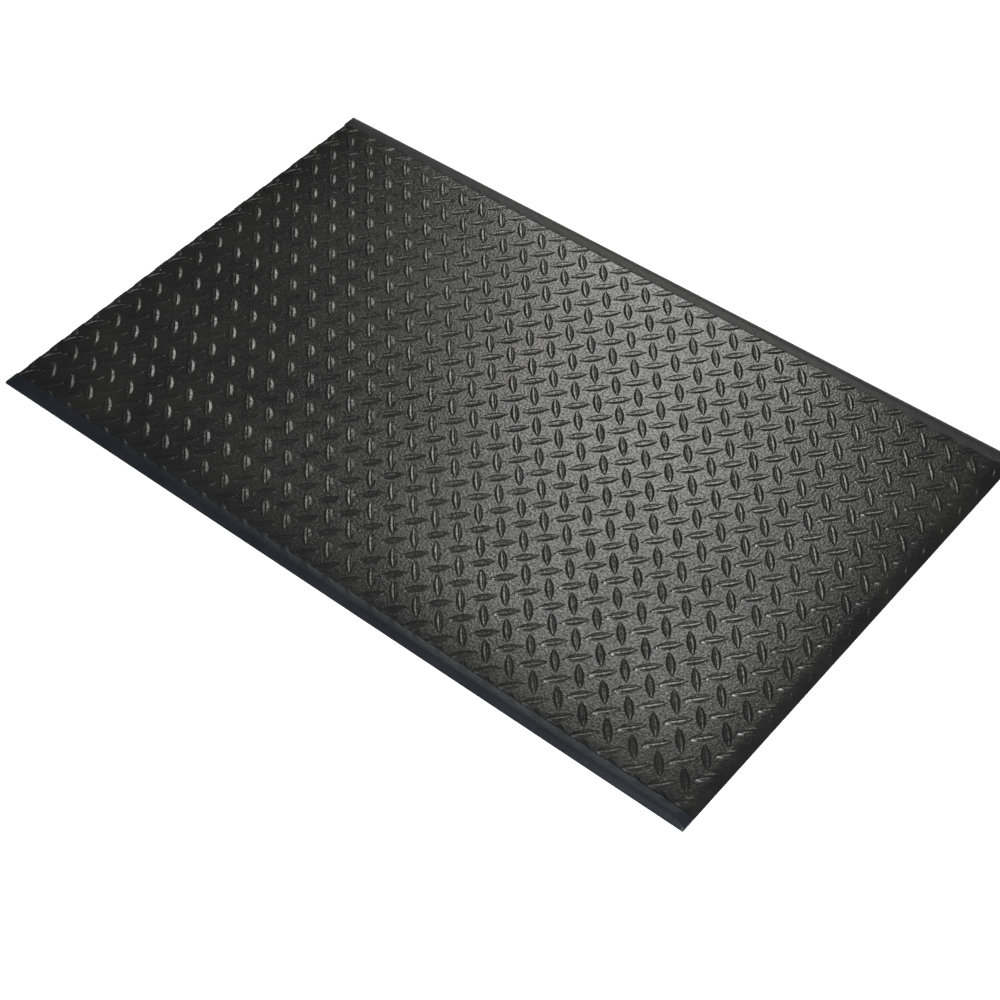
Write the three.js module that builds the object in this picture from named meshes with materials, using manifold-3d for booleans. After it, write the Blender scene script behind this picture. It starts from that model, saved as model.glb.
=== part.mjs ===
// A cushioned standing mat of laminated closed-cell vinyl foam.
// X runs along the length, Y across the width from the front edge to the back edge, and Z is up.
// The origin is on the floor, under the middle of the mat. Sizes are in millimetres.

import * as THREE from 'three';
import { mergeVertices } from 'three/addons/utils/BufferGeometryUtils.js';
import Module from 'manifold-3d';

// Overall sizes of the mat.
const MAT_LENGTH = 1500;
const MAT_WIDTH = 910;
const MAT_HEIGHT = 9.5;

// The layers, from the floor up. The wearing sheet is measured over the crests of its embossing.
const BACKING_THICKNESS = 0.8;
const WEAR_THICKNESS = 2.4;
const GLUE_LINE = 0.15;

// The bevelled strips along the two long edges. The crest lies a little under the top of the embossing and a little
// out from the strip's inner side, and falls from there to a groove beside the wearing sheet.
const BEVEL_WIDTH = 28;
const BEVEL_LIP_HEIGHT = 2.4;
const CREST_BELOW_TOP = 1;
const CREST_SETBACK = 8;
const GROOVE_DEPTH = 1;

// The two short ends, where the lamination is pressed down until the core is only this thick.
const END_ROLL_LENGTH = 28;
const CORE_END_THICKNESS = 0.7;

// How finely the curves are divided.
const CURVE_STEPS = 14;

const wasm = await Module();
wasm.setup();

function asSolid(geometry) {
  const bare = geometry.clone();
  bare.deleteAttribute('normal');
  bare.deleteAttribute('uv');
  const merged = mergeVertices(bare, 1e-4);
  return new wasm.Manifold(new wasm.Mesh({
    numProp: 3,
    vertProperties: new Float32Array(merged.attributes.position.array),
    triVerts: new Uint32Array(merged.index.array),
  }));
}

function asGeometry(solid) {
  const mesh = solid.getMesh();
  const geometry = new THREE.BufferGeometry();
  geometry.setAttribute('position', new THREE.BufferAttribute(new Float32Array(mesh.vertProperties), 3));
  geometry.setIndex(new THREE.BufferAttribute(new Uint32Array(mesh.triVerts), 1));
  geometry.computeVertexNormals();
  return geometry;
}

function shapeOf(points) {
  return new THREE.Shape(points.map(([across, up]) => new THREE.Vector2(across, up)));
}

// A side outline, drawn as (x, z), carried across the mat from yFront to yBack.
function carriedAcross(outline, yFront, yBack) {
  const geometry = new THREE.ExtrudeGeometry(shapeOf(outline), { depth: yBack - yFront, bevelEnabled: false });
  geometry.rotateX(Math.PI / 2);
  geometry.translate(0, yBack, 0);
  return geometry;
}

// A cross-section, drawn as (y, z), carried along the whole length of the mat.
function carriedAlong(section) {
  const geometry = new THREE.ExtrudeGeometry(shapeOf(section), { depth: MAT_LENGTH, bevelEnabled: false });
  geometry.rotateX(Math.PI / 2);
  geometry.rotateZ(Math.PI / 2);
  geometry.translate(-halfLength, 0, 0);
  return geometry;
}

const halfField = MAT_WIDTH / 2 - BEVEL_WIDTH - GLUE_LINE;
const halfLength = MAT_LENGTH / 2;
const coreBottom = BACKING_THICKNESS + GLUE_LINE;
const endLipHeight = coreBottom + CORE_END_THICKNESS + GLUE_LINE + WEAR_THICKNESS;
const crestHeight = MAT_HEIGHT - CREST_BELOW_TOP;

// The height of the mat's upper face at a distance in from a short end: a parabola that levels out at the roll's root.
function heightAtEnd(inset, fullHeight) {
  const left = 1 - inset / END_ROLL_LENGTH;
  return fullHeight - (fullHeight - endLipHeight) * left * left;
}

// The upper line of the mat seen from the side, from the left end to the right end, lowered by depth.
function upperLine(depth, fullHeight) {
  const rightEnd = [];
  for (let i = 0; i <= CURVE_STEPS; i += 1) {
    const inset = END_ROLL_LENGTH * (1 - i / CURVE_STEPS);
    rightEnd.push([halfLength - inset, heightAtEnd(inset, fullHeight) - depth]);
  }
  const leftEnd = rightEnd.map(([x, z]) => [-x, z]).reverse();
  return [...leftEnd, ...rightEnd];
}

// The cross-section of a strip, as (distance in from the edge, height): a flat foot, a low lip, a slope that
// eases into a rounded crest, and a short fall to the groove beside the wearing sheet.
function bevelSection() {
  const crestInset = BEVEL_WIDTH - CREST_SETBACK;
  const section = [[0, 0], [BEVEL_WIDTH, 0], [BEVEL_WIDTH, crestHeight - GROOVE_DEPTH]];
  for (let i = 1; i <= CURVE_STEPS; i += 1) {
    const share = i / CURVE_STEPS;
    const drop = GROOVE_DEPTH * (1 - share) ** 2;
    section.push([BEVEL_WIDTH - CREST_SETBACK * share, crestHeight - drop]);
  }
  for (let i = 1; i <= CURVE_STEPS; i += 1) {
    const share = i / CURVE_STEPS;
    const drop = (crestHeight - BEVEL_LIP_HEIGHT) * share ** 2;
    section.push([crestInset * (1 - share), crestHeight - drop]);
  }
  return section;
}

// The grip backing: a thin vinyl film under the foam, flat on the floor.
function makeBacking() {
  const outline = [
    [-halfLength, 0],
    [halfLength, 0],
    [halfLength, BACKING_THICKNESS],
    [-halfLength, BACKING_THICKNESS],
  ];
  return carriedAcross(outline, -halfField, halfField);
}

// The foam core: the cushion between the backing and the wearing sheet, thinned where the ends are pressed down.
function makeCore() {
  const top = upperLine(WEAR_THICKNESS + GLUE_LINE, MAT_HEIGHT);
  const outline = [[-halfLength, coreBottom], [halfLength, coreBottom], ...top.reverse()];
  return carriedAcross(outline, -halfField, halfField);
}

// The wearing sheet: it lies on the core and follows it down at both ends.
function makeWearSheet() {
  const under = upperLine(WEAR_THICKNESS, MAT_HEIGHT);
  const over = upperLine(0, MAT_HEIGHT).reverse();
  return carriedAcross([...under, ...over], -halfField, halfField);
}

// A bevelled strip: the section carried along the mat, with its ends pressed down like the rest of the lamination.
function makeBevel(side) {
  const section = bevelSection().map(([inset, z]) => [side * (MAT_WIDTH / 2 - inset), z]);
  const bar = asSolid(carriedAlong(side < 0 ? section : section.reverse()));
  const outline = [[-halfLength, 0], [halfLength, 0], ...upperLine(0, crestHeight).reverse()];
  const pressed = asSolid(carriedAcross(outline, -MAT_WIDTH / 2, MAT_WIDTH / 2));
  return asGeometry(bar.intersect(pressed));
}

const finishes = {
  wear: { color: 0x2b2b2c, roughness: 0.62, metalness: 0 },
  bevel: { color: 0x24252b, roughness: 0.5, metalness: 0 },
  foam: { color: 0x1d1d1e, roughness: 0.95, metalness: 0 },
  backing: { color: 0x181819, roughness: 0.85, metalness: 0 },
};

const mat = new THREE.Group();

function addPiece(name, geometry, finish) {
  const piece = new THREE.Mesh(geometry, new THREE.MeshStandardMaterial(finish));
  piece.name = name;
  mat.add(piece);
}

addPiece('grip_backing', makeBacking(), finishes.backing);
addPiece('foam_core', makeCore(), finishes.foam);
addPiece('wear_sheet', makeWearSheet(), finishes.wear);
addPiece('front_bevel_strip', makeBevel(-1), finishes.bevel);
addPiece('back_bevel_strip', makeBevel(1), finishes.bevel);

export default mat;
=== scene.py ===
import math
import bmesh
import bpy
from mathutils import Matrix, Vector, noise


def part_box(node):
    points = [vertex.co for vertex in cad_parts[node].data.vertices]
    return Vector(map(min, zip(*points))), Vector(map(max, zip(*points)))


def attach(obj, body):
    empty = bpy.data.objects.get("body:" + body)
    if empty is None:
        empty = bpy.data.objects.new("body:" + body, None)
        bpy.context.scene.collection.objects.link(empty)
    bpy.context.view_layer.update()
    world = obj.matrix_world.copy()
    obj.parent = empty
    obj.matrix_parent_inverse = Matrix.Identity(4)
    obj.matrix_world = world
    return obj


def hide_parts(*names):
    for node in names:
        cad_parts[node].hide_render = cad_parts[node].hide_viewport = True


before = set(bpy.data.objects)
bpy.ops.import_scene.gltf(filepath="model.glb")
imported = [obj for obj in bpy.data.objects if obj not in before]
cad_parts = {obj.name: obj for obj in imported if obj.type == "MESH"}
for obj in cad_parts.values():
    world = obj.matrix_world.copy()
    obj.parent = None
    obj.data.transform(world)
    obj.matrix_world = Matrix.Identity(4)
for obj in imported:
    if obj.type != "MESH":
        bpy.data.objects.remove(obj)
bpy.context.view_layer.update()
scene = bpy.context.scene

# ---- Embossed wearing sheet -----------------------------------------------------------------
# A calendered vinyl sheet, pressed hot on an engraved roller into a field of lens-shaped marks
# that lean both ways and point at each other's waists. Each mark has straight flanks up to a
# narrow crest and a shallow hollow along its middle. The sheet is bonded to the foam below.
sheet_low, sheet_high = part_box("wear_sheet")
PITCH_X = 0.0484
PITCH_Y = 0.05195
FIRST_MARK = Vector((-0.7018, -0.43775))
CREST_RISE = 0.0016
GROUND_THICKNESS = 0.0008
TILE_HALF_LENGTH = 0.735
TILE_HALF_WIDTH = 0.265
RING_SPREAD = (1.0, 0.80, 0.42, 0.0, -0.42, -0.80, -1.0)
RINGS = ((0.0250, 0.0081, 0.0), (0.0229, 0.0036, 0.0015),
         (0.0225, 0.0032, CREST_RISE), (0.0220, 0.0028, 0.0015))
RIDGE_DIMPLE = 0.00042
DIMPLE_REACH = 0.97
FIELD_SEED = 7
MARK_DEPTH_SPREAD = 0.08
WELD_DISTANCE = 0.00005
# Reaches of painted shade: the sheen of the wearing sheet fades towards its front edge and ends, and fades
# again close to them.
EDGE_SHADE_REACH = 0.13
NEAR_EDGE_SHADE_REACH = 0.022
CLOUD_SCALE = 9
RUB_SCALE = 3.1
SPECK_SCALE = 0.7
SPECK_DULLNESS = 0.05
WAVE_SCALE = 14
WAVE_DEPTH = 0.0006
# Painted shade in the grain's pits: the share of sheen that the low pebbles lose.
PIT_SHADE = 0.6
MARK_SMOOTHNESS = 0.4
MARK_POLISH = 0.04


def ring_points(half_length, half_width):
    """A lens outline: two arcs that meet at the tips, counterclockwise."""
    radius = (half_length ** 2 + half_width ** 2) / (2 * half_width)
    upper = []
    for share in RING_SPREAD:
        x = half_length * share
        upper.append((x, math.sqrt(max(0, radius ** 2 - x ** 2)) - radius + half_width))
    return upper + [(x, -y) for x, y in reversed(upper[1:-1])]


def mark_tile(name, along, across, hole_side):
    """One repeat of the pattern: the mark, the ground round it, and the square of ground beside it."""
    bm = bmesh.new()
    raised = bm.verts.layers.float.new("raised")
    unit = along.normalized()
    side = Vector((-unit.y, unit.x))

    def tile_vert(s, t):
        return bm.verts.new((along * s + across * t).to_3d())

    def mark_vert(x, y, z):
        return bm.verts.new((unit * x + side * y).to_3d() + Vector((0, 0, z)))

    a, b = TILE_HALF_LENGTH, TILE_HALF_WIDTH
    half = [(a, 0), (a, b), (b, b), (0, b), (-b, b), (-a, b)]
    edge = [tile_vert(s, t) for s, t in half] + [tile_vert(-s, -t) for s, t in half]
    rings = [[mark_vert(x, y, z) for x, y in ring_points(length, width)] for length, width, z in RINGS]
    count = len(rings[0])
    for outside, inside in zip([edge] + rings, rings):
        for k in range(count):
            n = (k + 1) % count
            bm.faces.new((inside[k], outside[k], outside[n], inside[n]))
    crest = rings[-1]
    reach = RINGS[-1][0] * DIMPLE_REACH / RING_SPREAD[1]
    ridge = [mark_vert(reach * s, 0, CREST_RISE - RIDGE_DIMPLE * (1 - s ** 4)) for s in RING_SPREAD[1:-1]]
    last = len(ridge)
    for ring in rings[1:] + [ridge]:
        for vert in ring:
            vert[raised] = 1.0
    bm.faces.new((ridge[0], crest[count - 1], crest[0], crest[1]))
    bm.faces.new((ridge[-1], crest[last], crest[last + 1], crest[last + 2]))
    for k in range(1, last):
        bm.faces.new((ridge[k - 1], crest[k], crest[k + 1], ridge[k]))
        bm.faces.new((ridge[k], crest[count - k - 1], crest[count - k], ridge[k - 1]))
    for first, second in zip(ridge, ridge[1:]):
        bm.edges.get((first, second)).smooth = False
    for ring in (rings[0], rings[1], rings[3]):
        for k in range(count):
            bm.edges.get((ring[k - 1], ring[k])).smooth = False
    hole = [tile_vert(s, t * hole_side) for s, t in ((b, b), (a, b), (a, a), (b, a))]
    bm.faces.new(hole if hole_side > 0 else hole[::-1])
    mesh = bpy.data.meshes.new(name)
    bm.to_mesh(mesh)
    bm.free()
    tile = bpy.data.objects.new(name, mesh)
    scene.collection.objects.link(tile)
    return tile


def node_tree(name, inputs):
    """An empty Geometry Nodes tree with named inputs. It gives the tree, its input and output nodes."""
    tree = bpy.data.node_groups.new(name, "GeometryNodeTree")
    for label, kind in inputs:
        tree.interface.new_socket(label, in_out="INPUT", socket_type=kind)
    tree.interface.new_socket("Geometry", in_out="OUTPUT", socket_type="NodeSocketGeometry")
    return tree, tree.nodes.new("NodeGroupInput"), tree.nodes.new("NodeGroupOutput")


def sum_of(tree, operation, first, second):
    """A maths node: each value is a number or the socket that it comes from."""
    made = tree.nodes.new("ShaderNodeMath")
    made.operation = operation
    for socket, value in zip(made.inputs, (first, second)):
        if isinstance(value, (int, float)):
            socket.default_value = value
        else:
            tree.links.new(value, socket)
    return made.outputs[0]


def grown(name, tree, values):
    """The mesh that a Geometry Nodes tree makes with these inputs, as a plain new object."""
    seedling = bpy.data.objects.new(name + "_grower", bpy.data.meshes.new(name + "_grower"))
    scene.collection.objects.link(seedling)
    modifier = seedling.modifiers.new("grow", "NODES")
    modifier.node_group = tree
    for item in tree.interface.items_tree:
        if item.in_out == "INPUT":
            modifier[item.identifier] = values[item.name]
    evaluated = seedling.evaluated_get(bpy.context.evaluated_depsgraph_get())
    mesh = bpy.data.meshes.new_from_object(evaluated)
    bpy.data.objects.remove(seedling)
    mesh.name = name
    piece = bpy.data.objects.new(name, mesh)
    scene.collection.objects.link(piece)
    return piece


def skin(name, base, tint, rough, grain, grain_depth, sheen=0.5, painted_edge_shade=0.0):
    """A moulded plastic finish: a pebbled grain, a slow unevenness, cloudy colour and rubbed patches.
    scuffed is painted shade: how much of the wearing sheet's sheen is taken away at its front edge and at
    both ends, so that they come out darker.
    With it the raised marks are smoother than the ground, and the grain's pits are darkened by painted
    shade, as less sheen."""
    made = bpy.data.materials.new(name)
    made.use_nodes = True
    tree = made.node_tree
    shader = tree.nodes["Principled BSDF"]
    place = tree.nodes.new("ShaderNodeTexCoord").outputs["Object"]

    def noise_at(scale, detail=3.0, rough_part=0.55):
        node = tree.nodes.new("ShaderNodeTexNoise")
        node.inputs["Scale"].default_value = scale
        node.inputs["Detail"].default_value = detail
        node.inputs["Roughness"].default_value = rough_part
        tree.links.new(place, node.inputs["Vector"])
        return node.outputs["Fac"]

    def spread(value, low, high, to_low, to_high):
        node = tree.nodes.new("ShaderNodeMapRange")
        tree.links.new(value, node.inputs["Value"])
        limits = {"From Min": low, "From Max": high, "To Min": to_low, "To Max": to_high}
        for label, number in limits.items():
            node.inputs[label].default_value = number
        return node.outputs["Result"]

    def mixed(share, first, second):
        node = tree.nodes.new("ShaderNodeMix")
        node.data_type = "RGBA"
        node.inputs[6].default_value = (*first, 1)
        node.inputs[7].default_value = (*second, 1)
        tree.links.new(share, node.inputs[0])
        return node.outputs[2]

    cloud = spread(noise_at(CLOUD_SCALE, 4), 0.35, 0.65, 0, 1)
    colour = mixed(cloud, base, tint)
    tree.links.new(colour, shader.inputs["Base Color"])
    speck = noise_at(grain * SPECK_SCALE, 2)
    rubbed = spread(noise_at(RUB_SCALE, 5), 0.4, 0.7, -0.02, 0.03)
    speckled = spread(speck, 0.3, 0.7, rough - SPECK_DULLNESS, rough + SPECK_DULLNESS)
    dull = sum_of(tree, "ADD", speckled, rubbed)
    shader.inputs["Specular IOR Level"].default_value = sheen
    pebble = tree.nodes.new("ShaderNodeBump")
    pebble.inputs["Strength"].default_value = 1
    pebble.inputs["Distance"].default_value = grain_depth
    pebbles = noise_at(grain, 2, 0.5)
    tree.links.new(pebbles, pebble.inputs["Height"])
    if painted_edge_shade:
        apart = tree.nodes.new("ShaderNodeSeparateXYZ")
        tree.links.new(place, apart.inputs[0])
        from_front = sum_of(tree, "ADD", apart.outputs["Y"], sheet_high.y)
        from_end = sum_of(tree, "SUBTRACT", sheet_high.x, sum_of(tree, "ABSOLUTE", apart.outputs["X"], 0))
        # Painted shade in the pits: the sheen follows the pebble height and is lower where the grain sinks.
        kept = spread(pebbles, 0.35, 0.65, sheen * (1 - PIT_SHADE), sheen * (1 + PIT_SHADE))
        # Painted shade: the sheen is cut away towards the front edge and both ends, over a broad reach and
        # again over a narrow one.
        for inset, reach in ((from_front, EDGE_SHADE_REACH), (from_front, NEAR_EDGE_SHADE_REACH),
                             (from_end, EDGE_SHADE_REACH), (from_end, NEAR_EDGE_SHADE_REACH)):
            loss = spread(inset, 0, reach, 1, 0)
            left = sum_of(tree, "SUBTRACT", 1, sum_of(tree, "MULTIPLY", loss, painted_edge_shade))
            kept = sum_of(tree, "MULTIPLY", left, kept)
        tree.links.new(kept, shader.inputs["Specular IOR Level"])
        mark = tree.nodes.new("ShaderNodeAttribute")
        mark.attribute_name = "raised"
        tree.links.new(spread(mark.outputs["Fac"], 0, 1, 1, 1 - MARK_SMOOTHNESS), pebble.inputs["Strength"])
        dull = sum_of(tree, "ADD", dull, spread(mark.outputs["Fac"], 0, 1, 0, -MARK_POLISH))
    tree.links.new(dull, shader.inputs["Roughness"])
    wave = tree.nodes.new("ShaderNodeBump")
    wave.inputs["Strength"].default_value = 1
    wave.inputs["Distance"].default_value = WAVE_DEPTH
    tree.links.new(noise_at(WAVE_SCALE, 2), wave.inputs["Height"])
    tree.links.new(pebble.outputs["Normal"], wave.inputs["Normal"])
    tree.links.new(wave.outputs["Normal"], shader.inputs["Normal"])
    return made


def finished(piece, node, material):
    """Gives a piece its material, hangs it under the root body and hides the part that it stands for."""
    piece.data.materials.clear()
    piece.data.materials.append(material)
    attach(piece, "root")
    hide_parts(node)


# The wearing sheet's sheen is darkened by painted shade near its front edge and ends.
wear_skin = skin("wear_skin", base=(0.008, 0.008, 0.0082), tint=(0.012, 0.0119, 0.0117),
                 rough=0.27, grain=250, grain_depth=0.00048, sheen=0.5, painted_edge_shade=0.52)
down_slope = Vector((PITCH_X / 2, -PITCH_Y / 2))
up_slope = Vector((PITCH_X / 2, PITCH_Y / 2))
falling_mark = mark_tile("falling_mark", down_slope, up_slope, 1)
rising_mark = mark_tile("rising_mark", up_slope, -down_slope, -1)

field_tree, field_in, field_out = node_tree("embossing", (
    ("Falling Mark", "NodeSocketObject"), ("Rising Mark", "NodeSocketObject"),
    ("Pitch X", "NodeSocketFloat"), ("Pitch Y", "NodeSocketFloat"),
    ("Columns", "NodeSocketInt"), ("Rows", "NodeSocketInt"),
    ("Start", "NodeSocketVector"), ("Depth Spread", "NodeSocketFloat"),
    ("Seed", "NodeSocketInt"), ("Material", "NodeSocketMaterial")))
nodes, links = field_tree.nodes, field_tree.links
lattice = nodes.new("GeometryNodeMeshGrid")
for axis in "XY":
    number = field_in.outputs["Columns" if axis == "X" else "Rows"]
    gaps = sum_of(field_tree, "SUBTRACT", number, 1)
    span = sum_of(field_tree, "MULTIPLY", gaps, field_in.outputs["Pitch " + axis])
    links.new(number, lattice.inputs["Vertices " + axis])
    links.new(span, lattice.inputs["Size " + axis])
joined = nodes.new("GeometryNodeJoinGeometry")
for label, halves in (("Falling Mark", 0), ("Rising Mark", 0.5)):
    shift = nodes.new("ShaderNodeCombineXYZ")
    for axis in "XY":
        number = field_in.outputs["Columns" if axis == "X" else "Rows"]
        steps = sum_of(field_tree, "MULTIPLY", sum_of(field_tree, "SUBTRACT", number, 1), 0.5)
        steps = sum_of(field_tree, "ADD", steps, halves)
        offset = sum_of(field_tree, "MULTIPLY", steps, field_in.outputs["Pitch " + axis])
        links.new(offset, shift.inputs[axis])
    placed = nodes.new("GeometryNodeTransform")
    start = nodes.new("ShaderNodeVectorMath")
    links.new(shift.outputs[0], start.inputs[0])
    links.new(field_in.outputs["Start"], start.inputs[1])
    links.new(start.outputs[0], placed.inputs["Translation"])
    links.new(lattice.outputs["Mesh"], placed.inputs["Geometry"])
    stamp = nodes.new("GeometryNodeObjectInfo")
    links.new(field_in.outputs[label], stamp.inputs["Object"])
    pressed = nodes.new("GeometryNodeInstanceOnPoints")
    links.new(placed.outputs["Geometry"], pressed.inputs["Points"])
    links.new(stamp.outputs["Geometry"], pressed.inputs["Instance"])
    depth = nodes.new("FunctionNodeRandomValue")
    links.new(sum_of(field_tree, "SUBTRACT", 1, field_in.outputs["Depth Spread"]), depth.inputs[2])
    depth.inputs[3].default_value = 1
    links.new(field_in.outputs["Seed"], depth.inputs["Seed"])
    tall = nodes.new("ShaderNodeCombineXYZ")
    tall.inputs[0].default_value = 1
    tall.inputs[1].default_value = 1
    links.new(depth.outputs[1], tall.inputs[2])
    links.new(tall.outputs[0], pressed.inputs["Scale"])
    links.new(pressed.outputs["Instances"], joined.inputs[0])
real = nodes.new("GeometryNodeRealizeInstances")
welded = nodes.new("GeometryNodeMergeByDistance")
welded.inputs["Distance"].default_value = WELD_DISTANCE
coloured = nodes.new("GeometryNodeSetMaterial")
links.new(joined.outputs[0], real.inputs[0])
links.new(real.outputs[0], welded.inputs["Geometry"])
links.new(welded.outputs[0], coloured.inputs["Geometry"])
links.new(field_in.outputs["Material"], coloured.inputs["Material"])
links.new(coloured.outputs[0], field_out.inputs[0])

columns = math.ceil((sheet_high.x - sheet_low.x) / PITCH_X) + 2
rows = math.ceil((sheet_high.y - sheet_low.y) / PITCH_Y) + 2
wear_sheet = grown("embossed_wear_sheet", field_tree, {
    "Falling Mark": falling_mark, "Rising Mark": rising_mark,
    "Pitch X": PITCH_X, "Pitch Y": PITCH_Y, "Columns": columns, "Rows": rows,
    "Start": (FIRST_MARK.x - PITCH_X, FIRST_MARK.y - PITCH_Y, 0),
    "Depth Spread": MARK_DEPTH_SPREAD, "Seed": FIELD_SEED, "Material": wear_skin})
bpy.data.objects.remove(falling_mark)
bpy.data.objects.remove(rising_mark)

END_ROLL = 0.028
END_CUTS = (0.25, 0.5, 0.75, 1.0)
SIDE_CUTS = (0.002, 0.005)
END_DROP = 0.0053
GROOVE_DIP = 0.0001
GROOVE_REACH = 0.0035
CROWN_REACH = 0.09
CROWN_DROP = 0.0011
CORNER_LIMIT = 1.4
PRESSED_END = 0.019
MARK_LEFT_AT_END = 0.04


def roll_drop(x, full_drop, reach=END_ROLL):
    """How far the lamination is pressed down at a place along the mat."""
    left = 1 - (sheet_high.x - abs(x)) / reach
    return full_drop * left * left if left > 0 else 0.0


def crown_drop(x, y):
    """How far the cushion thins towards the bevels and the ends, over its last hand's breadth."""
    drop = 0.0
    for inset in (sheet_high.x - abs(x), sheet_high.y - abs(y)):
        left = max(0.0, 1 - inset / CROWN_REACH)
        drop += CROWN_DROP * left * left
    return min(drop, CORNER_LIMIT * CROWN_DROP)


def cut_at(bm, point, normal, away):
    """Cuts a mesh along a plane, and drops what lies beyond it if asked."""
    every = bm.verts[:] + bm.edges[:] + bm.faces[:]
    bmesh.ops.bisect_plane(bm, geom=every, plane_co=point, plane_no=normal, dist=1e-6, clear_outer=away)


bm = bmesh.new()
bm.from_mesh(wear_sheet.data)
for sign in (-1, 1):
    end = Vector((sheet_high.x * sign, 0, 0))
    side = Vector((0, sheet_high.y * sign, 0))
    cut_at(bm, end, (sign, 0, 0), True)
    cut_at(bm, side, (0, sign, 0), True)
    for share in END_CUTS:
        cut_at(bm, end * (1 - share * END_ROLL / sheet_high.x), (sign, 0, 0), False)
    for inset in SIDE_CUTS:
        cut_at(bm, side * (1 - inset / sheet_high.y), (0, sign, 0), False)
rim = [e for e in bm.edges if e.is_boundary]
skirt = bmesh.ops.extrude_edge_only(bm, edges=rim)["geom"]
foot = [v for v in skirt if isinstance(v, bmesh.types.BMVert)]
for v in foot:
    v.co.z = -GROUND_THICKNESS
bmesh.ops.contextual_create(bm, geom=[e for e in skirt if isinstance(e, bmesh.types.BMEdge)])
for sign in (-1, 1):
    for share in END_CUTS:
        station = Vector((sign * (sheet_high.x - share * END_ROLL), 0, 0))
        low = [f for f in bm.faces if all(v.co.z < -GROUND_THICKNESS * 0.99 for v in f.verts)]
        geom = low + list({e for f in low for e in f.edges}) + list({v for f in low for v in f.verts})
        bmesh.ops.bisect_plane(bm, geom=geom, plane_co=station, plane_no=(1, 0, 0), dist=1e-6)
bmesh.ops.recalc_face_normals(bm, faces=bm.faces)
ground = sheet_high.z - CREST_RISE
raised = bm.verts.layers.float["raised"]
for v in bm.verts:
    inset = sheet_high.x - abs(v.co.x)
    beside = sheet_high.y - abs(v.co.y)
    if v.co.z > -GROUND_THICKNESS * 0.9:
        fade = min(1, max(0, inset / PRESSED_END))
        fade = MARK_LEFT_AT_END + (1 - MARK_LEFT_AT_END) * fade * fade * (3 - 2 * fade)
        v.co.z *= fade
        v[raised] *= fade
        v.co.z -= GROOVE_DIP * math.exp(-((beside / GROOVE_REACH) ** 2))
    pressed_down = roll_drop(v.co.x, END_DROP - CROWN_DROP) + crown_drop(v.co.x, v.co.y)
    v.co.z += ground - pressed_down
for f in bm.faces:
    f.smooth = f.normal.z > 0.3
bm.to_mesh(wear_sheet.data)
bm.free()
finished(wear_sheet, "wear_sheet", wear_skin)

# ---- Bevelled edge strips -------------------------------------------------------------------
# Solid vinyl edging along the two long sides, extruded with a thin lip and a convex slope, then
# bonded to the cushion and pressed with it. The roller's last marks print faintly on its inner side.
STRIP_WIDTH = 0.028
LIP_HEIGHT = 0.0024
LIP_NOSE = 0.0006
CREST_SETBACK = 0.0125
STRIP_STATION = 0.0034
SLOPE_STEPS = 14
FALL_STEPS = 6
LIP_AT_END = 0.0042
WOBBLE = 0.00012
PRINT_REACH = 0.009
PRINT_DEPTH = 0.7


def mark_relief(x, y):
    """The height of the falling marks at a place on the strip."""
    i = round((x - FIRST_MARK.x) / PITCH_X)
    j = round((y - FIRST_MARK.y) / PITCH_Y)
    dx = x - FIRST_MARK.x - i * PITCH_X
    dy = y - FIRST_MARK.y - j * PITCH_Y
    unit = down_slope.normalized()
    s, t = dx * unit.x + dy * unit.y, abs(dy * unit.x - dx * unit.y)
    outside, height = None, 0.0
    for length, width, z in RINGS:
        radius = (length ** 2 + width ** 2) / (2 * width)
        inside = radius - math.hypot(s, t + radius - width)
        if inside < 0:
            return height if outside is None else height + (z - height) * outside / (outside - inside)
        outside, height = inside, z
    return height - RIDGE_DIMPLE * min(1, outside / RINGS[-1][1])


def strip_section(crest, inner_fall):
    """The edging's outline, as (distance in from the edge, height), from the foot to the inner side."""
    outline = [(0.0005, 0), (0, 0.0006), (0, LIP_HEIGHT - 0.0007), (0.0002, LIP_HEIGHT - 0.0002)]
    slope_run = STRIP_WIDTH - CREST_SETBACK - LIP_NOSE
    for i in range(SLOPE_STEPS + 1):
        share = i / SLOPE_STEPS
        drop = (crest - LIP_HEIGHT - 0.0001) * (1 - share) ** 2
        outline.append((LIP_NOSE + slope_run * share, crest - drop))
    for i in range(1, FALL_STEPS + 1):
        share = i / FALL_STEPS
        outline.append((STRIP_WIDTH - CREST_SETBACK * (1 - share), crest - inner_fall * share ** 2))
    return outline + [(STRIP_WIDTH, 0)]


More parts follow.
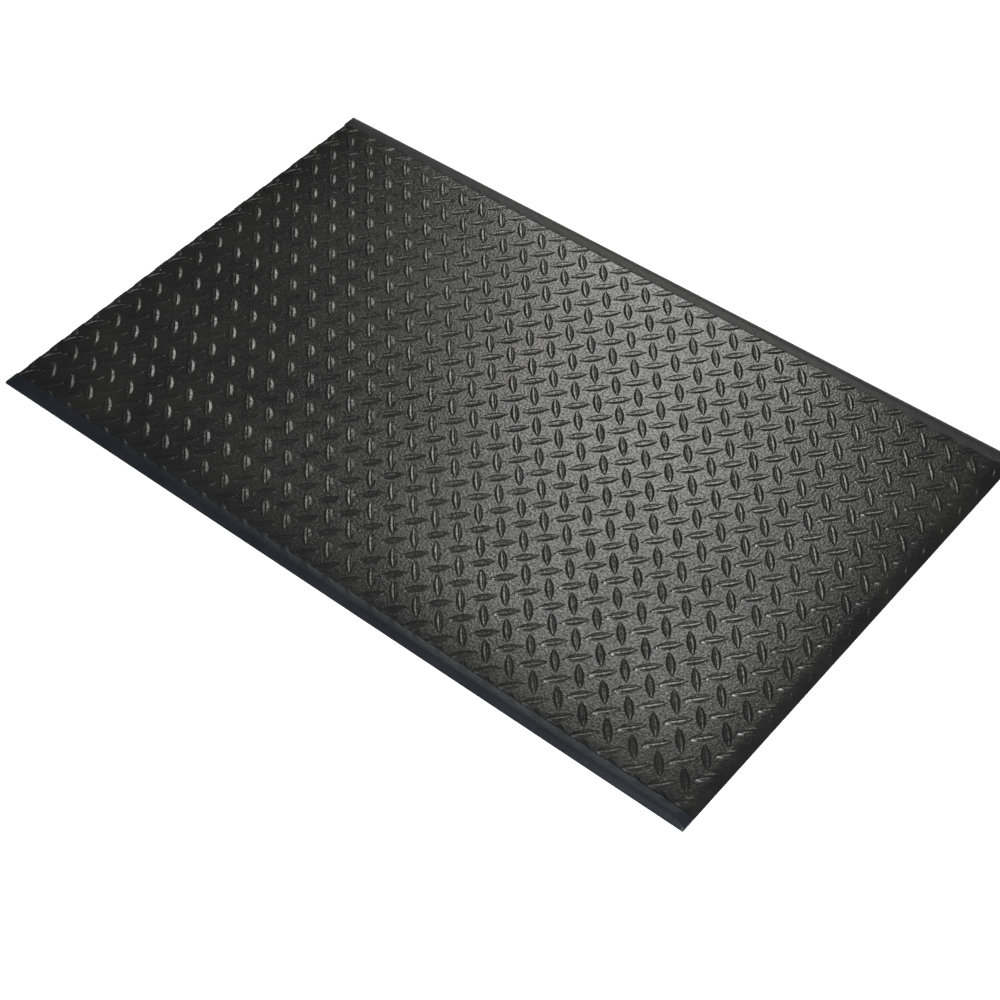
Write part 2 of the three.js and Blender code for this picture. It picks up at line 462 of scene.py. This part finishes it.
def edge_strip(name, node, sign, settled, inner_fall, material):
    """One strip: the section carried along the mat, pressed at the ends and printed by the roller.
    settled is how far its crest has sunk, and inner_fall how far it drops to its inner side."""
    low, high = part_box(node)
    edge_y = high.y if sign > 0 else low.y
    outline = strip_section(high.z - settled, inner_fall)
    stations = round((high.x - low.x) / STRIP_STATION)
    bm = bmesh.new()
    rows_made = []
    for i in range(stations + 1):
        x = low.x + (high.x - low.x) * i / stations
        ceiling = high.z - roll_drop(x, high.z - LIP_AT_END)
        press = min(1, (high.x - abs(x)) / PRESSED_END)
        row = []
        for inset, z in outline:
            y = edge_y - sign * inset
            wobble = WOBBLE * noise.noise((x * 9, inset * 60, sign * 3))
            if inset > STRIP_WIDTH - PRINT_REACH and z > LIP_HEIGHT:
                inner = 1 - (STRIP_WIDTH - inset) / PRINT_REACH
                z += mark_relief(x, y) * PRINT_DEPTH * press * inner
            if z > 0:
                z = min(z, ceiling) + wobble * min(1, z / 0.004)
            row.append(bm.verts.new((x, y, z)))
        rows_made.append(row)
    for first, second in zip(rows_made, rows_made[1:]):
        for k in range(len(outline)):
            n = (k + 1) % len(outline)
            bm.faces.new((first[k], first[n], second[n], second[k]))
    bm.faces.new(rows_made[0])
    bm.faces.new(rows_made[-1])
    bmesh.ops.recalc_face_normals(bm, faces=bm.faces)
    for f in bm.faces:
        f.smooth = abs(f.normal.x) < 0.9 and f.normal.z > -0.5
    mesh = bpy.data.meshes.new(name)
    bm.to_mesh(mesh)
    bm.free()
    strip = bpy.data.objects.new(name, mesh)
    scene.collection.objects.link(strip)
    finished(strip, node, material)


# Painted light and shade: the same vinyl edges both long sides, but it is made as two copies. The front one
# is darker and bluer with less sheen, and the back one is lighter, each tuned to the light that falls on
# its side.
front_vinyl_shaded_copy = skin("bevel_vinyl_front_shaded_copy", base=(0.007, 0.0074, 0.0102), tint=(0.01, 0.0106, 0.0138),
                   rough=0.4, grain=300, grain_depth=0.00036, sheen=0.18)
back_vinyl_lit_copy = skin("bevel_vinyl_back_lit_copy", base=(0.011, 0.011, 0.0115), tint=(0.015, 0.015, 0.0155),
                  rough=0.46, grain=300, grain_depth=0.0004, sheen=0.23)
edge_strip("front_edging", "front_bevel_strip", -1, settled=0.0, inner_fall=0.0012, material=front_vinyl_shaded_copy)
edge_strip("back_edging", "back_bevel_strip", 1, settled=0.0012, inner_fall=0.0009, material=back_vinyl_lit_copy)

# ---- Foam cushion ---------------------------------------------------------------------------
# Closed-cell vinyl foam, knife-cut at the ends and pressed thin there. Its broken cells show
# as fine pores on the cut.
core_low, core_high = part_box("foam_core")
CORE_STEPS = (0.0, 0.0035, 0.007, 0.011, 0.016, 0.022, END_ROLL)
MIDDLE_STEPS = 9
CORE_ROWS = 160
CUT_DEPTH = 0.0002
THINNEST_FOAM = 0.0004
bm = bmesh.new()
middle_run = core_high.x - END_ROLL
insets = list(CORE_STEPS) + [END_ROLL + middle_run * i / MIDDLE_STEPS for i in range(1, MIDDLE_STEPS + 1)]
xs = [-(core_high.x - s) for s in insets] + [core_high.x - s for s in reversed(insets[:-1])]
ys = [core_low.y + (core_high.y - core_low.y) * i / CORE_ROWS for i in range(CORE_ROWS + 1)]
top_rows, low_rows = [], []
for x in xs:
    top_row, low_row = [], []
    for y in ys:
        ragged = CUT_DEPTH * (1 + noise.noise((y * 220, x * 3, 1.7)))
        cut = ragged if abs(x) > core_high.x - 1e-6 else 0
        px = x - math.copysign(cut, x)
        fall = roll_drop(x, END_DROP - CROWN_DROP) + crown_drop(x, y)
        top_row.append(bm.verts.new((px, y, max(core_high.z - fall, core_low.z + THINNEST_FOAM))))
        low_row.append(bm.verts.new((px, y, core_low.z)))
    top_rows.append(top_row)
    low_rows.append(low_row)
for i in range(len(xs) - 1):
    for j in range(len(ys) - 1):
        bm.faces.new((top_rows[i][j], top_rows[i + 1][j], top_rows[i + 1][j + 1], top_rows[i][j + 1]))
        bm.faces.new((low_rows[i][j], low_rows[i][j + 1], low_rows[i + 1][j + 1], low_rows[i + 1][j]))
    for j in (0, len(ys) - 1):
        bm.faces.new((top_rows[i][j], top_rows[i + 1][j], low_rows[i + 1][j], low_rows[i][j]))
for i in (0, len(xs) - 1):
    for j in range(len(ys) - 1):
        bm.faces.new((top_rows[i][j], top_rows[i][j + 1], low_rows[i][j + 1], low_rows[i][j]))
bmesh.ops.recalc_face_normals(bm, faces=bm.faces)
core_mesh = bpy.data.meshes.new("foam_cushion")
bm.to_mesh(core_mesh)
bm.free()
foam_cushion = bpy.data.objects.new("foam_cushion", core_mesh)
scene.collection.objects.link(foam_cushion)
foam = skin("cut_foam", base=(0.010, 0.010, 0.0102), tint=(0.018, 0.018, 0.018),
            rough=0.85, grain=900, grain_depth=0.0003, sheen=0.2)
finished(foam_cushion, "foam_core", foam)

# ---- Ribbed grip backing --------------------------------------------------------------------
# A thin vinyl film under the foam, drawn with fine ribs across the mat that grip the floor.
film_low, film_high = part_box("grip_backing")
RIB_PITCH = 0.006
RIB_DEPTH = 0.0004
FILM_ROWS = 9
FIRST_LIFT = 0.0001
rib_tree, rib_in, rib_out = node_tree("grip_ribs", (
    ("Length", "NodeSocketFloat"), ("Width", "NodeSocketFloat"), ("Ribs", "NodeSocketInt"),
    ("Depth", "NodeSocketFloat"), ("Thickness", "NodeSocketFloat"), ("Material", "NodeSocketMaterial")))
nodes, links = rib_tree.nodes, rib_tree.links
film = nodes.new("GeometryNodeMeshGrid")
per_rib = sum_of(rib_tree, "ADD", sum_of(rib_tree, "MULTIPLY", rib_in.outputs["Ribs"], 4), 1)
links.new(per_rib, film.inputs["Vertices X"])
film.inputs["Vertices Y"].default_value = FILM_ROWS
links.new(rib_in.outputs["Length"], film.inputs["Size X"])
links.new(rib_in.outputs["Width"], film.inputs["Size Y"])
where = nodes.new("GeometryNodeInputPosition")
apart = nodes.new("ShaderNodeSeparateXYZ")
links.new(where.outputs[0], apart.inputs[0])
from_middle = sum_of(rib_tree, "DIVIDE", apart.outputs["X"], rib_in.outputs["Length"])
quarters = sum_of(rib_tree, "MULTIPLY", rib_in.outputs["Ribs"], 4)
along_share = sum_of(rib_tree, "ADD", from_middle, 0.5)
quarter = sum_of(rib_tree, "ROUND", sum_of(rib_tree, "MULTIPLY", along_share, quarters), 0)
in_rib = sum_of(rib_tree, "LESS_THAN", sum_of(rib_tree, "MODULO", quarter, 4), 1.5)
rise = nodes.new("ShaderNodeCombineXYZ")
links.new(sum_of(rib_tree, "MULTIPLY", in_rib, rib_in.outputs["Depth"]), rise.inputs["Z"])
ribbed = nodes.new("GeometryNodeSetPosition")
links.new(film.outputs["Mesh"], ribbed.inputs["Geometry"])
links.new(rise.outputs[0], ribbed.inputs["Offset"])
turned = nodes.new("GeometryNodeFlipFaces")
links.new(ribbed.outputs[0], turned.inputs[0])
lifted = nodes.new("GeometryNodeExtrudeMesh")
lifted.inputs["Individual"].default_value = False
links.new(ribbed.outputs[0], lifted.inputs["Mesh"])
lifted.inputs["Offset Scale"].default_value = FIRST_LIFT
level = nodes.new("ShaderNodeCombineXYZ")
links.new(apart.outputs["X"], level.inputs["X"])
links.new(apart.outputs["Y"], level.inputs["Y"])
links.new(rib_in.outputs["Thickness"], level.inputs["Z"])
flat_top = nodes.new("GeometryNodeSetPosition")
links.new(lifted.outputs["Mesh"], flat_top.inputs["Geometry"])
links.new(lifted.outputs["Top"], flat_top.inputs["Selection"])
links.new(level.outputs[0], flat_top.inputs["Position"])
both = nodes.new("GeometryNodeJoinGeometry")
links.new(turned.outputs[0], both.inputs[0])
links.new(flat_top.outputs[0], both.inputs[0])
closed = nodes.new("GeometryNodeMergeByDistance")
closed.inputs["Distance"].default_value = 0.00001
painted = nodes.new("GeometryNodeSetMaterial")
solid = nodes.new("GeometryNodeRealizeInstances")
links.new(both.outputs[0], solid.inputs[0])
links.new(solid.outputs[0], closed.inputs["Geometry"])
links.new(closed.outputs[0], painted.inputs["Geometry"])
links.new(rib_in.outputs["Material"], painted.inputs["Material"])
links.new(painted.outputs[0], rib_out.inputs[0])
film_vinyl = skin("backing_film", base=(0.014, 0.014, 0.0142), tint=(0.02, 0.02, 0.02),
                  rough=0.6, grain=300, grain_depth=0.00005, sheen=0.3)
backing = grown("ribbed_backing", rib_tree, {
    "Length": film_high.x - film_low.x, "Width": film_high.y - film_low.y,
    "Ribs": round((film_high.x - film_low.x) / RIB_PITCH), "Depth": RIB_DEPTH,
    "Thickness": film_high.z - film_low.z, "Material": film_vinyl})
finished(backing, "grip_backing", film_vinyl)

# ---- Floor, lights and camera ---------------------------------------------------------------
# A pale studio floor, one long softbox low behind the far left of the mat, which glows in its
# surface, and soft fill from the camera's side, which keeps the floor clean.
FLOOR_REACH = 4.5
PAPER = (0.9, 0.9, 0.9)
floor_mesh = bpy.data.meshes.new("floor")
floor_corners = [(x * FLOOR_REACH, y * FLOOR_REACH, 0) for x, y in ((-1, -1), (1, -1), (1, 1), (-1, 1))]
floor_mesh.from_pydata(floor_corners, [], [(0, 1, 2, 3)])
floor = bpy.data.objects.new("floor", floor_mesh)
scene.collection.objects.link(floor)
paper = bpy.data.materials.new("floor_paper")
paper.use_nodes = True
paper_shader = paper.node_tree.nodes["Principled BSDF"]
paper_shader.inputs["Base Color"].default_value = (*PAPER, 1)
paper_shader.inputs["Roughness"].default_value = 1
paper_shader.inputs["Specular IOR Level"].default_value = 0
floor_mesh.materials.append(paper)


def softbox(name, place, target, width, height, radiance, tint, twist=0.0):
    """A rectangular diffused lamp that faces a target, turned about its own axis by twist."""
    lamp = bpy.data.lights.new(name, "AREA")
    lamp.shape = "RECTANGLE"
    lamp.size, lamp.size_y = width, height
    lamp.color = tint
    lamp.energy = radiance * math.pi * width * height
    away = (Vector(place) - Vector(target)).normalized()
    side = (-away).cross(Vector((0, 0, 1))).normalized()
    up = side.cross(-away).normalized()
    long_way = side * math.cos(twist) + up * math.sin(twist)
    short_way = away.cross(long_way)
    holder = bpy.data.objects.new(name, lamp)
    scene.collection.objects.link(holder)
    turn = Matrix((long_way, short_way, away)).transposed().to_4x4()
    holder.matrix_world = Matrix.Translation(place) @ turn
    return holder


softbox("back_softbox", place=(-1.224, 2.034, 2.357), target=(0.356, 0.417, -0.045),
        width=2.40, height=1.00, radiance=6.5, tint=(1, 1, 0.965), twist=1.23)
softbox("front_fill", place=(2.2, -3.0, 3.8), target=(0, 0, 0),
        width=3.6, height=3.6, radiance=15, tint=(1, 1, 1))
ROOM_GLOW = 0.05
ROOM_SEEN = 0.85
world = bpy.data.worlds.new("room")
world.use_nodes = True
world.node_tree.nodes["Background"].inputs["Color"].default_value = (1, 1, 1, 1)
ray = world.node_tree.nodes.new("ShaderNodeLightPath").outputs["Is Camera Ray"]
seen = sum_of(world.node_tree, "ADD", sum_of(world.node_tree, "MULTIPLY", ray, ROOM_SEEN), ROOM_GLOW)
world.node_tree.links.new(seen, world.node_tree.nodes["Background"].inputs["Strength"])
scene.world = world

AZIMUTH, ELEVATION, ROLL = math.radians(44.370), math.radians(48.848), math.radians(-5.286)
TARGET = Vector((0.1259, -0.1300, 0))
DISTANCE = 3.5183
SENSOR_WIDTH = 36
FOCAL_LENGTH = 76.57
level = Vector((-math.sin(AZIMUTH), math.cos(AZIMUTH), 0))
ahead = level * math.cos(ELEVATION) - Vector((0, 0, math.sin(ELEVATION)))
right = Vector((math.cos(AZIMUTH), math.sin(AZIMUTH), 0))
up = right.cross(ahead)
right_rolled = right * math.cos(ROLL) + up * math.sin(ROLL)
up_rolled = up * math.cos(ROLL) - right * math.sin(ROLL)
camera = bpy.data.objects.new("camera", bpy.data.cameras.new("camera"))
scene.collection.objects.link(camera)
camera.data.sensor_width = SENSOR_WIDTH
camera.data.lens = FOCAL_LENGTH
turn = Matrix((right_rolled, up_rolled, -ahead)).transposed().to_4x4()
camera.matrix_world = Matrix.Translation(TARGET - ahead * DISTANCE) @ turn
scene.camera = camera
scene.view_settings.view_transform = "Standard"
